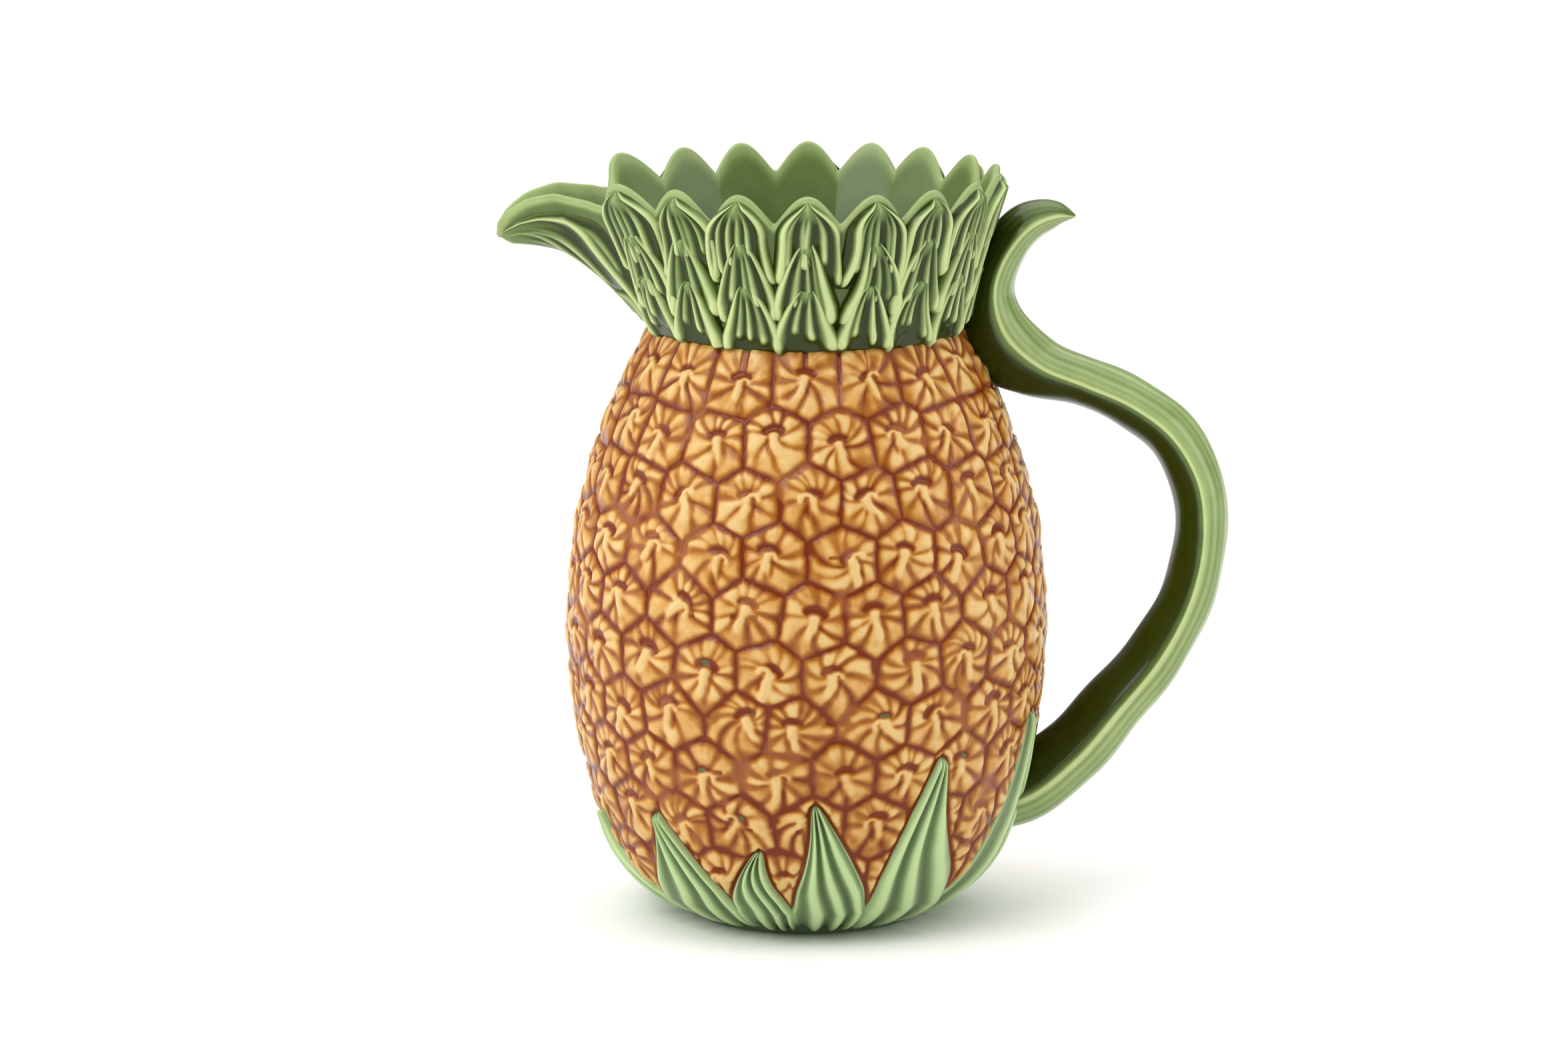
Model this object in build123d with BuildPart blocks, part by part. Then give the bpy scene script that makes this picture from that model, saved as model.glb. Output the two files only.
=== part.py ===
from build123d import *
import os
from math import asin, atan2, cos, radians, sin, sqrt

os.makedirs("parts", exist_ok=True)

# A glazed earthenware jug in the shape of a pineapple, in millimetres.
# The axis of the body is Z, the jug stands on Z = 0, the beak points to -X and the handle to +X.

# Barrel: the bare clay under the relief
belly_radius = 74.3
belly_height = 92.0
belly_arc = 183.0
heel_arc = 38.0
heel_lift = 2.6
neck_height = 188.0
wall = 5.0
foot_radius = 36.5
foot_width = 6.0
foot_recess = 2.0

# Fruitlets
row_count = 9
row_size = 22
top_row_drop = 9.5
bottom_row_height = 42.5
fruitlet_relief = 2.4
fruitlet_top = 0.66
fruitlet_lift = 0.9
fruitlet_gap = 1.0
fruitlet_root = 1.0
smallest_chip = 30.0

# Crown: its rise over the neck, and its tiers as shares of that rise
crown_rise = 49.0
crown_step = 1.7
crown_flare = 12.2
collar_wall = 4.0
column_count = 18
tooth_share = 0.18
tier_shares = (0.43, 0.715, 1.0)
leaf_gap = 0.8
leaf_root = 1.0
leaf_stand = 2.8
smallest_leaf = 120.0
spout_columns = (-80, -100)

# Beak: distance from the neck, half width, keel as a share of the crown's rise, the keel's
# round as a share of the beak's depth, and wall
beak_sections = (
    (-4.8, 23.0, -0.14, 0.41, 4.2),
    (9.2, 20.5, 0.24, 0.55, 3.8),
    (23.2, 15.5, 0.45, 0.57, 3.4),
    (37.2, 9.5, 0.51, 0.40, 2.8),
    (48.7, 2.6, 0.57, 0.12, 1.3),
)
beak_seam = 1.2
lip_start = -6.8
lip_bend = 31.2
lip_share = 0.91
lip_fall_share = 0.82
lip_tip_share = 0.62

# Handle: centre line from the curled tip down to the lower root, as distance from the belly,
# share of the neck's height, thickness and width
handle_stations = (
    (9.3, 1.179, 1.6, 3.0),
    (3.7, 1.183, 8.4, 12.0),
    (-3.7, 1.173, 12.6, 20.0),
    (-11.9, 1.130, 14.0, 24.0),
    (-16.5, 1.059, 14.5, 25.0),
    (-13.3, 0.989, 18.0, 25.0),
    (-2.3, 0.934, 17.0, 24.5),
    (12.2, 0.901, 16.0, 24.0),
    (26.7, 0.867, 16.6, 24.0),
    (39.3, 0.816, 17.2, 24.0),
    (47.7, 0.739, 17.4, 24.0),
    (49.8, 0.649, 17.3, 24.0),
    (46.1, 0.543, 17.8, 24.5),
    (36.9, 0.444, 19.0, 26.0),
    (23.1, 0.351, 20.5, 28.0),
    (9.7, 0.269, 22.0, 30.0),
    (-4.3, 0.210, 23.0, 31.0),
    (-21.3, 0.181, 22.0, 30.0),
)

# Base leaves: start of the sector, direction of the tip and height of the tip, in degrees from
# the -Y side towards +X; each leaf runs on to the start of the next one
base_leaves = (
    (-96, -76, 36.0),
    (-56, -43, 43.0),
    (-24, -13, 34.0),
    (-5, 2, 50.0),
    (20, 35, 63.0),
    (53, 72, 69.0),
    (86, 101, 58.0),
    (118, 134, 47.0),
    (149, 164, 40.0),
    (179, 192, 52.0),
    (206, 222, 42.0),
    (237, 250, 48.0),
)
base_relief = 2.2
base_blade = 1.2
base_ribs = (-0.42, 0.36)
rib_half_width = 0.19
rib_reach = 0.86
base_valley = 12.0
base_bulge = -0.05

# Centres of the two tangent arcs that draw the barrel
belly_center = (belly_radius - belly_arc, belly_height)
heel_drop = belly_height - heel_lift - heel_arc
heel_center = (belly_center[0] + sqrt((belly_arc - heel_arc) ** 2 - heel_drop**2), heel_lift + heel_arc)
heel_turn = -asin(heel_drop / (belly_arc - heel_arc))


def on_circle(center, radius, angle):
    return (center[0] + radius * cos(angle), center[1] + radius * sin(angle))


def belly_angle(height, offset=0.0):
    return asin((height - belly_height) / (belly_arc + offset))


def heel_angle(radius, offset=0.0):
    return -radians(90) + asin((radius - heel_center[0]) / (heel_arc + offset))


def barrel_radius(height, offset=0.0):
    if height > on_circle(belly_center, belly_arc + offset, heel_turn)[1]:
        return belly_center[0] + sqrt((belly_arc + offset) ** 2 - (height - belly_height) ** 2)
    return heel_center[0] + sqrt((heel_arc + offset) ** 2 - (height - heel_center[1]) ** 2)


def arc(center, radius, first, last):
    return ThreePointArc(
        on_circle(center, radius, first),
        on_circle(center, radius, (first + last) / 2),
        on_circle(center, radius, last),
    )


def barrel_side(low_radius, top_height, offset=0.0):
    """The barrel's outline as its heel arc and its belly arc."""
    arc(heel_center, heel_arc + offset, heel_angle(low_radius, offset), heel_turn)
    arc(belly_center, belly_arc + offset, heel_turn, belly_angle(top_height, offset))


def heel_height(radius, offset=0.0):
    return on_circle(heel_center, heel_arc + offset, heel_angle(radius, offset))[1]


def facing(azimuth):
    """The rotation about the axis that turns +X to an azimuth counted from -Y towards +X."""
    return azimuth - 90


def save(piece, name):
    piece.part.label = name
    export_step(piece.part, "parts/" + name + ".step")


def without_chips(piece, smallest):
    """The same pieces but for those that a cut has left smaller than a volume."""
    with BuildPart() as kept:
        add([solid for solid in piece.part.solids() if solid.volume > smallest])
    return kept


# Body shell: barrel, flat inner floor and foot ring
inner_floor = heel_center[1] - heel_arc + wall
with BuildPart() as body_shell:
    with BuildSketch(Plane.XZ):
        with BuildLine():
            barrel_side(foot_radius, neck_height)
            inner_top = (barrel_radius(neck_height, -wall), neck_height)
            Line((barrel_radius(neck_height), neck_height), inner_top)
            barrel_side(heel_center[0], neck_height, -wall)
            Polyline(
                (heel_center[0], inner_floor),
                (0, inner_floor),
                (0, foot_recess),
                (foot_radius - foot_width, foot_recess),
                (foot_radius - foot_width, 0),
                (foot_radius, 0),
                (foot_radius, heel_height(foot_radius)),
            )
        make_face()
    revolve(axis=Axis.Z)
save(body_shell, "body_shell")

# The barrel as a full block, which trims what is laid on it
with BuildPart() as barrel_block:
    with BuildSketch(Plane.XZ):
        with BuildLine():
            barrel_side(foot_radius, neck_height)
            Polyline(
                (barrel_radius(neck_height), neck_height),
                (0, neck_height),
                (0, 0),
                (foot_radius, 0),
                (foot_radius, heel_height(foot_radius)),
            )
        make_face()
    revolve(axis=Axis.Z)


neck_radius = barrel_radius(neck_height) + crown_step
rim_radius = neck_radius + crown_flare
crown_height = neck_height + crown_rise
tooth_depth = crown_rise * tooth_share


def crown_level(share):
    """The height at a share of the crown's rise."""
    return neck_height + crown_rise * share


def crown_radius(height):
    """The collar's outer radius, which flares from the neck to the rim."""
    return neck_radius + crown_flare * (height - neck_height) / crown_rise


def crown_block(inset=0.0):
    """The collar's outer form as a full block, or its hollow when inset by the wall."""
    with BuildPart() as block:
        with BuildSketch(Plane.XZ):
            Polygon(
                (neck_radius - inset, neck_height),
                (rim_radius - inset, crown_height),
                (0, crown_height),
                (0, neck_height),
                align=None,
            )
        revolve(axis=Axis.Z)
    return block.part


def beak_block(hollow=False):
    """The beak's outer form, a loft of deep U sections, or the channel in it."""
    with BuildPart() as block:
        for distance, half_width, keel_share, round_share, thickness in beak_sections:
            inset = thickness if hollow else 0
            keel = crown_level(keel_share) + inset
            reach = half_width - inset
            top = crown_height - keel
            bow = round_share * top * reach / half_width
            start = (-neck_radius - distance, 0, keel)
            with BuildSketch(Plane(origin=start, x_dir=(0, -1, 0), z_dir=(-1, 0, 0))):
                with BuildLine():
                    ThreePointArc((-reach, bow), (0, 0), (reach, bow))
                    Polyline((reach, bow), (reach, top), (-reach, top), (-reach, bow))
                make_face()
        loft()
    return block.part


crown_form = crown_block()
beak_form = beak_block()


def leaf_top(width, tip, drop, rounded=True):
    """The point of a leaf, with its sides as arcs or straight, drop below it at each side."""
    half = width / 2
    if not rounded:
        Polyline((-half, tip - drop), (0, tip), (half, tip - drop))
        return
    bulge = 0.16 * drop
    middle = (half / 2 + bulge * 0.6, tip - drop / 2 + bulge)
    ThreePointArc((-half, tip - drop), (-middle[0], middle[1]), (0, tip))
    ThreePointArc((0, tip), middle, (half, tip - drop))


column_turn = 360 / column_count
columns = [index * column_turn for index in range(column_count)]
leaf_columns = [turn for turn in columns if turn not in [angle % 360 for angle in spout_columns]]

# Crown: the collar and the beak are one shell, parted at an upright seam
with BuildPart() as crown_shell:
    add(crown_form)
    add(beak_form)
    add(crown_block(collar_wall), mode=Mode.SUBTRACT)
    add(beak_block(hollow=True), mode=Mode.SUBTRACT)
    with BuildSketch(Plane.XY.offset(neck_height)):
        Circle(3 * rim_radius)
    extrude(amount=-neck_height, mode=Mode.SUBTRACT)
    # the pitch of the teeth at the rim, cut away between one rounded tip and the next
    pitch = 2 * rim_radius * sin(radians(column_turn / 2))
    with BuildSketch(Plane.YZ) as tooth_gap:
        with BuildLine():
            leaf_top(pitch, crown_height, tooth_depth)
            Polyline(
                (pitch / 2, crown_height - tooth_depth),
                (pitch / 2, crown_height + 10),
                (-pitch / 2, crown_height + 10),
                (-pitch / 2, crown_height - tooth_depth),
            )
        make_face()
    with Locations(*[Rotation(0, 0, facing(turn)) for turn in leaf_columns]):
        add(extrude(tooth_gap.sketch, amount=2 * rim_radius, mode=Mode.PRIVATE), mode=Mode.SUBTRACT)
    # the lips of the beak: level, then falling to its tip
    lip_root = (-neck_radius - lip_start, crown_level(lip_share))
    lip_edge = (-neck_radius - lip_bend, crown_level(lip_share))
    lip_end = (-neck_radius - beak_sections[-1][0] - 1, crown_level(lip_tip_share))
    lip_fall = (lip_edge[0] + 0.56 * (lip_end[0] - lip_edge[0]), crown_level(lip_fall_share))
    with BuildSketch(Plane.XZ):
        with BuildLine():
            Polyline((lip_root[0], crown_height + 1), lip_root, lip_edge)
            ThreePointArc(lip_edge, lip_fall, lip_end)
            Polyline(lip_end, (lip_end[0], crown_height + 1), (lip_root[0], crown_height + 1))
        make_face()
    extrude(amount=beak_sections[0][1] + 0.5, both=True, mode=Mode.SUBTRACT)

seam = Plane(origin=(-neck_radius - beak_seam, 0, 0), z_dir=(1, 0, 0))
with BuildPart() as crown_collar:
    add(crown_shell.part)
    split(bisect_by=seam, keep=Keep.TOP)
with BuildPart() as pouring_spout:
    add(crown_shell.part)
    split(bisect_by=seam, keep=Keep.BOTTOM)
save(crown_collar, "crown_collar")
save(pouring_spout, "pouring_spout")

# Handle: a loft of lens sections, trimmed where it lies on the collar and the barrel
with BuildPart() as handle_block:
    centres = [(belly_radius + out, 0, neck_height * share) for out, share, thickness, width in handle_stations]
    with BuildLine() as handle_line:
        Spline(*centres)
    for centre, (out, share, thickness, width) in zip(centres, handle_stations):
        along = handle_line.edge().tangent_at(centre)
        with BuildSketch(Plane(origin=centre, x_dir=(0, 1, 0), z_dir=along)):
            with BuildLine():
                ThreePointArc((-width / 2, 0), (0, thickness / 2), (width / 2, 0))
                ThreePointArc((width / 2, 0), (0, -thickness / 2), (-width / 2, 0))
            make_face()
    loft()
with BuildPart() as handle:
    add(handle_block.part)
    add(barrel_block.part, mode=Mode.SUBTRACT)
    add(crown_form, mode=Mode.SUBTRACT)
save(handle, "handle")


def column_width(height):
    """The room for one leaf on the collar at a height."""
    return 2 * crown_radius(height) * sin(radians(column_turn / 2)) - leaf_gap


def crown_tier(name, base, tip, drop, leaf_below, rounded):
    """One tier of crown leaves: a flared ring round the collar, cut into pointed leaves.

    Each leaf is notched at its foot by the point of the leaf below, and its outline is returned
    as a block for the tier above.
    """
    foot = max(base - drop, neck_height)
    half_top = column_width(tip - drop) / 2
    half_foot = column_width(foot) / 2
    with BuildPart() as outline:
        with BuildSketch(Plane.YZ):
            with BuildLine():
                leaf_top(2 * half_top, tip, drop, rounded)
                Polyline(
                    (half_top, tip - drop),
                    (half_foot, foot),
                    (-half_foot, foot),
                    (-half_top, tip - drop),
                )
            make_face()
        extrude(amount=2 * rim_radius)
    with BuildPart() as leaf:
        with BuildSketch(Plane.XZ):
            Polygon(
                (crown_radius(foot) - collar_wall, foot),
                (crown_radius(foot) + leaf_root, foot),
                (crown_radius(tip) + leaf_stand, tip),
                (crown_radius(tip) - collar_wall, tip),
                align=None,
            )
        revolve(axis=Axis.Z)
        add(outline.part, mode=Mode.INTERSECT)
        if leaf_below:
            add(leaf_below, mode=Mode.SUBTRACT)
        add(crown_form, mode=Mode.SUBTRACT)
    with BuildPart() as tier:
        with Locations(*[Rotation(0, 0, facing(turn)) for turn in leaf_columns]):
            add(leaf.part)
        add(handle_block.part, mode=Mode.SUBTRACT)
        add(beak_form, mode=Mode.SUBTRACT)
    save(without_chips(tier, smallest_leaf), name)
    return outline.part


tier_names = ("crown_leaves_lower", "crown_leaves_middle", "crown_leaves_upper")
base = neck_height
leaf_below = None
for name, share in zip(tier_names, tier_shares):
    rounded = share == tier_shares[-1]
    leaf_below = crown_tier(name, base, crown_level(share), tooth_depth, leaf_below, rounded)
    base = crown_level(share)


def base_leaf_block(start, tip_turn, tip_height, end, thickness, ribs_only=False):
    """A broad leaf that wraps the barrel from the foot up, or only the ribs that run to its tip."""
    turn = (start + end) / 2
    half_turn = (end - start) / 2
    with BuildPart() as block:
        with BuildSketch(Plane.XZ) as strip:
            with BuildLine():
                barrel_side(foot_radius, tip_height + 1)
                Line(
                    (barrel_radius(tip_height + 1), tip_height + 1),
                    (barrel_radius(tip_height + 1, thickness), tip_height + 1),
                )
                barrel_side(foot_radius, tip_height + 1, thickness)
                Line(
                    (foot_radius, heel_height(foot_radius, thickness)),
                    (foot_radius, heel_height(foot_radius)),
                )
            make_face()
        revolve(axis=Axis.Z, revolution_arc=2 * half_turn)
    sector = block.part.rotate(Axis.Z, facing(turn) - half_turn)
    valley_reach = barrel_radius(base_valley + 8, thickness) * sin(radians(half_turn))
    lean = barrel_radius(tip_height) * sin(radians(tip_turn - turn))
    rise = tip_height - base_valley
    across = (cos(radians(turn)), sin(radians(turn)), 0)
    outward = (sin(radians(turn)), -cos(radians(turn)), 0)
    with BuildPart() as leaf:
        add(sector)
        with BuildSketch(Plane(origin=(0, 0, 0), x_dir=across, z_dir=outward)):
            with BuildLine():
                for side in (-1, 1):
                    shoulder = (side * valley_reach, base_valley)
                    middle = (
                        (shoulder[0] + lean) / 2 + side * base_bulge * rise,
                        (base_valley + tip_height) / 2 + base_bulge * rise,
                    )
                    ThreePointArc(shoulder, middle, (lean, tip_height))
                Polyline(
                    (-valley_reach, base_valley),
                    (-valley_reach, -1),
                    (valley_reach, -1),
                    (valley_reach, base_valley),
                )
            make_face()
        extrude(amount=2 * belly_radius, mode=Mode.INTERSECT)
        if ribs_only:
            with BuildSketch(Plane(origin=(0, 0, 0), x_dir=across, z_dir=outward)):
                for place in base_ribs:
                    foot = place * valley_reach
                    half_foot = rib_half_width * valley_reach
                    Polygon(
                        (foot - half_foot, -1),
                        (foot + half_foot, -1),
                        (foot + (lean - foot) * rib_reach, tip_height * rib_reach),
                        align=None,
                    )
            extrude(amount=2 * belly_radius, mode=Mode.INTERSECT)
    return leaf


base_covers = []
starts = [start for start, tip_turn, tip_height in base_leaves] + [base_leaves[0][0] + 360]
for number, (start, tip_turn, tip_height) in enumerate(base_leaves, start=1):
    end = starts[number]
    with BuildPart() as base_leaf:
        add(base_leaf_block(start, tip_turn, tip_height, end, base_blade).part)
        add(base_leaf_block(start, tip_turn, tip_height, end, base_relief, ribs_only=True).part)
        add(handle_block.part, mode=Mode.SUBTRACT)
    save(without_chips(base_leaf, smallest_leaf), f"base_leaf_{number}")
    base_covers.append(base_leaf_block(start, tip_turn, tip_height, end, 3 * fruitlet_relief).part)


row_pitch = (neck_height - top_row_drop - bottom_row_height) / (row_count - 1)


def fruitlet_row(name, height, shift, covers):
    """One ring of fruitlets that sit on the barrel: hexagons that narrow to a face set high."""
    radius = barrel_radius(height)
    lean = atan2(height - belly_height, radius - belly_center[0])
    half_width = radius * sin(radians(180 / row_size)) - fruitlet_gap / 2
    peak = row_pitch * 2 / 3 - fruitlet_gap / 2
    shoulder = row_pitch / 3 - fruitlet_gap / 4
    with BuildPart() as fruitlet:
        for out, share, lift in ((-fruitlet_root, 1, 0), (fruitlet_relief, fruitlet_top, fruitlet_lift)):
            centre = (radius + out * cos(lean), 0, height + out * sin(lean))
            normal = (cos(lean), 0, sin(lean))
            with BuildSketch(Plane(origin=centre, x_dir=(0, 1, 0), z_dir=normal)):
                Polygon(
                    (0, peak * share + lift),
                    (-half_width * share, shoulder * share + lift),
                    (-half_width * share, -shoulder * share + lift),
                    (0, -peak * share + lift),
                    (half_width * share, -shoulder * share + lift),
                    (half_width * share, shoulder * share + lift),
                    align=None,
                )
        loft(ruled=True)
        add(barrel_block.part, mode=Mode.SUBTRACT)
    with BuildPart() as row:
        turns = [(index + shift) * 360 / row_size for index in range(row_size)]
        with Locations(*[Rotation(0, 0, facing(turn)) for turn in turns]):
            add(fruitlet.part)
        for cover in covers:
            add(cover, mode=Mode.SUBTRACT)
    save(without_chips(row, smallest_chip), name)


for index in range(row_count):
    height = neck_height - top_row_drop - index * row_pitch
    covers = [handle_block.part]
    if height - row_pitch < max(tip_height for start, tip_turn, tip_height in base_leaves):
        covers = covers + base_covers
    fruitlet_row(f"fruitlet_row_{index + 1}", height, 0.5 * (index % 2), covers)
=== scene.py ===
"""A glazed earthenware pineapple jug: fruitlets, leaf crown with a pouring beak, stalk handle, base leaves."""

import math

import bpy
import numpy as np
from bpy.props import FloatProperty, FloatVectorProperty, IntProperty, PointerProperty
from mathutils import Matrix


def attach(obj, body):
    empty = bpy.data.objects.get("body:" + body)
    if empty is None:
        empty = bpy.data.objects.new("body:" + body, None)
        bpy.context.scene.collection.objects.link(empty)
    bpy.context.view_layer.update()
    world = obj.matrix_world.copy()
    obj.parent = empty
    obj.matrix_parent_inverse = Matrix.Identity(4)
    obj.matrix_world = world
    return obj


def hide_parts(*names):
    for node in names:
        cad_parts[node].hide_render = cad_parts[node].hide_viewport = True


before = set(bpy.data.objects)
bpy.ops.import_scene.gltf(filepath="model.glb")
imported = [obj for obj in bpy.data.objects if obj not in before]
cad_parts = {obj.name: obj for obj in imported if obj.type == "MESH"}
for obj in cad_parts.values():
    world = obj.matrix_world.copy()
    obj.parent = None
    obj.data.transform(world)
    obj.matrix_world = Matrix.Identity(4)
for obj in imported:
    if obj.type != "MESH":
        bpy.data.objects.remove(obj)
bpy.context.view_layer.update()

bl_info = {
    "name": "Pineapple Jug",
    "version": (1, 0, 0),
    "blender": (4, 5, 0),
    "location": "View3D > Sidebar > Jug",
    "description": "Models and glazes an earthenware pineapple jug round its packed solids",
    "category": "Object",
}

# Lengths are in millimetres and turns in degrees until a mesh is made, which is in metres.
MM = 0.001

# Barrel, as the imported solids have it: two tangent arcs under the relief
BELLY_RADIUS = 74.3
BELLY_HEIGHT = 92.0
BELLY_ARC = 183.0
HEEL_ARC = 38.0
HEEL_LIFT = 2.6
NECK_HEIGHT = 188.0
FOOT_RADIUS = 36.5

# Crown
CROWN_HEIGHT = 237.0
RIM_LEVEL = 235.1
NECK_RADIUS = 48.8
RIM_RADIUS = 61.0
COLUMNS = 18
BEAK_TURN = -90.0
LIP_SPREAD = 20.0

HANDLE_STATIONS = (
    (83.6, 221.6, 1.6, 3.0),
    (78.0, 222.4, 8.4, 12.0),
    (70.6, 220.6, 12.6, 20.0),
    (62.4, 212.4, 14.0, 24.0),
    (57.8, 199.0, 14.5, 25.0),
    (61.0, 186.0, 18.0, 25.0),
    (72.0, 175.6, 17.0, 24.5),
    (86.5, 169.4, 16.0, 24.0),
    (101.0, 163.0, 16.6, 24.0),
    (113.6, 153.4, 17.2, 24.0),
    (122.0, 139.0, 17.4, 24.0),
    (124.1, 122.0, 17.3, 24.0),
    (120.4, 102.0, 17.8, 24.5),
    (111.2, 83.4, 19.0, 26.0),
    (97.4, 66.0, 20.5, 28.0),
    (84.0, 50.5, 22.0, 30.0),
    (70.0, 39.5, 23.0, 31.0),
    (53.0, 34.0, 22.0, 30.0),
)

# Base leaves: start of the sector, direction of the tip, height of the tip
BASE_LEAVES = (
    (-96, -76, 36.0),
    (-56, -43, 43.0),
    (-24, -13, 34.0),
    (-5, 2, 50.0),
    (20, 35, 63.0),
    (53, 72, 69.0),
    (86, 101, 58.0),
    (118, 134, 47.0),
    (149, 164, 40.0),
    (179, 192, 52.0),
    (206, 222, 42.0),
    (237, 250, 48.0),
)
BASE_VALLEY = 12.0


def smooth(x, low=0.0, high=1.0):
    """The eased share of the way from low to high."""
    t = np.clip((np.asarray(x, float) - low) / (high - low), 0, 1)
    return t * t * (3 - 2 * t)


def bell(x, width):
    """A rounded ridge across x."""
    return np.exp(-np.square(np.asarray(x, float) / width))


def lerp(a, b, share):
    return a + (b - a) * share


def cylinder_point(radius, turn, height):
    """Points at a radius, a turn from the -Y side towards +X, and a height."""
    angle = np.radians(turn)
    return np.stack(np.broadcast_arrays(radius * np.sin(angle), -radius * np.cos(angle), height), axis=-1)


def blurred(grid, steps, wrap):
    """A grid softened over a few cells each way; wrap joins its first and last columns."""
    result = np.asarray(grid, float)
    for _ in range(3):
        for axis in (0, 1):
            joined = wrap and axis == 0
            pad = [(0, 0), (0, 0)]
            pad[axis] = (steps, steps)
            wide = np.pad(result, pad, mode="wrap" if joined else "edge")
            total = np.cumsum(wide, axis=axis)
            lead = np.zeros_like(np.take(total, [0], axis=axis))
            total = np.concatenate([lead, total], axis=axis)
            span = 2 * steps + 1
            count = result.shape[axis]
            high = np.take(total, np.arange(span, span + count), axis=axis)
            low = np.take(total, np.arange(0, count), axis=axis)
            result = (high - low) / span
    return result


def grid_normals(points, wrap):
    """Outward unit normals of a grid of points, first index round the jug and second upwards."""
    if wrap:
        around = np.roll(points, -1, axis=0) - np.roll(points, 1, axis=0)
    else:
        around = np.gradient(points, axis=0)
    upwards = np.gradient(points, axis=1)
    normals = np.cross(around, upwards)
    length = np.linalg.norm(normals, axis=-1, keepdims=True)
    return normals / np.maximum(length, 1e-9)


def grid_faces(columns, rows, wrap):
    """The quads of a grid whose vertex number is column * rows + row."""
    last = columns if wrap else columns - 1
    i, j = np.meshgrid(np.arange(last), np.arange(rows - 1), indexing="ij")
    right = (i + 1) % columns
    quads = np.stack([i * rows + j, right * rows + j, right * rows + j + 1, i * rows + j + 1], axis=-1)
    return quads.reshape(-1, 4)


def make_mesh_object(name, points, faces, attributes, material, smooth_faces=True):
    """A mesh object from points in millimetres, quads, and per-point glaze attributes."""
    used = np.zeros(len(points), bool)
    used[faces.ravel()] = True
    number = np.cumsum(used) - 1
    points = points[used]
    faces = number[faces]
    mesh = bpy.data.meshes.new(name)
    mesh.vertices.add(len(points))
    mesh.vertices.foreach_set("co", (points * MM).astype(np.float32).ravel())
    sides = faces.shape[1]
    mesh.loops.add(faces.size)
    mesh.loops.foreach_set("vertex_index", faces.astype(np.int32).ravel())
    mesh.polygons.add(len(faces))
    mesh.polygons.foreach_set("loop_start", np.arange(0, faces.size, sides, dtype=np.int32))
    mesh.update(calc_edges=True)
    mesh.polygons.foreach_set("use_smooth", np.full(len(faces), smooth_faces))
    for key, values in attributes.items():
        layer = mesh.attributes.new(key, "FLOAT", "POINT")
        layer.data.foreach_set("value", np.asarray(values, np.float32)[used].ravel())
    mesh.validate()
    piece = bpy.data.objects.new(name, mesh)
    bpy.context.scene.collection.objects.link(piece)
    piece.data.materials.append(material)
    return piece


def dress(piece, slot_name, *nodes):
    """Lets a piece ride on the jug and stand for its solids; slot_name is not used."""
    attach(piece, "root")
    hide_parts(*nodes)


class Barrel:
    """The bare barrel's side, followed by length from the foot upwards."""

    belly = (BELLY_RADIUS - BELLY_ARC, BELLY_HEIGHT)
    drop = BELLY_HEIGHT - HEEL_LIFT - HEEL_ARC
    heel = (belly[0] + math.sqrt((BELLY_ARC - HEEL_ARC) ** 2 - drop**2), HEEL_LIFT + HEEL_ARC)
    join = -math.asin(drop / (BELLY_ARC - HEEL_ARC))
    first = -math.pi / 2 + math.asin((FOOT_RADIUS - heel[0]) / HEEL_ARC)
    last = math.asin((NECK_HEIGHT - BELLY_HEIGHT) / BELLY_ARC)
    heel_length = HEEL_ARC * (join - first)
    length = heel_length + BELLY_ARC * (last - join)

    @classmethod
    def at(cls, along):
        """Radius, height and outward normal at a length along the side."""
        along = np.asarray(along, float)
        on_heel = along < cls.heel_length
        angle = np.where(
            on_heel,
            cls.first + along / HEEL_ARC,
            cls.join + (along - cls.heel_length) / BELLY_ARC,
        )
        reach = np.where(on_heel, HEEL_ARC, BELLY_ARC)
        radius = np.where(on_heel, cls.heel[0], cls.belly[0]) + reach * np.cos(angle)
        height = np.where(on_heel, cls.heel[1], cls.belly[1]) + reach * np.sin(angle)
        return radius, height, np.cos(angle), np.sin(angle)

    @classmethod
    def along(cls, height):
        """The length along the side at a height."""
        height = np.asarray(height, float)
        on_heel = height < cls.heel[1] + HEEL_ARC * math.sin(cls.join)
        heel_sine = np.clip((height - cls.heel[1]) / HEEL_ARC, -1, 1)
        belly_sine = np.clip((height - cls.belly[1]) / BELLY_ARC, -1, 1)
        low = HEEL_ARC * (np.arcsin(heel_sine) - cls.first)
        high = cls.heel_length + BELLY_ARC * (np.arcsin(belly_sine) - cls.join)
        return np.where(on_heel, low, high)

    @classmethod
    def point(cls, turn, along, lift):
        """Points laid on the side and lifted off it along its normal."""
        radius, height, out, up = cls.at(along)
        return cylinder_point(radius + lift * out, turn, height + lift * up)


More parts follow.
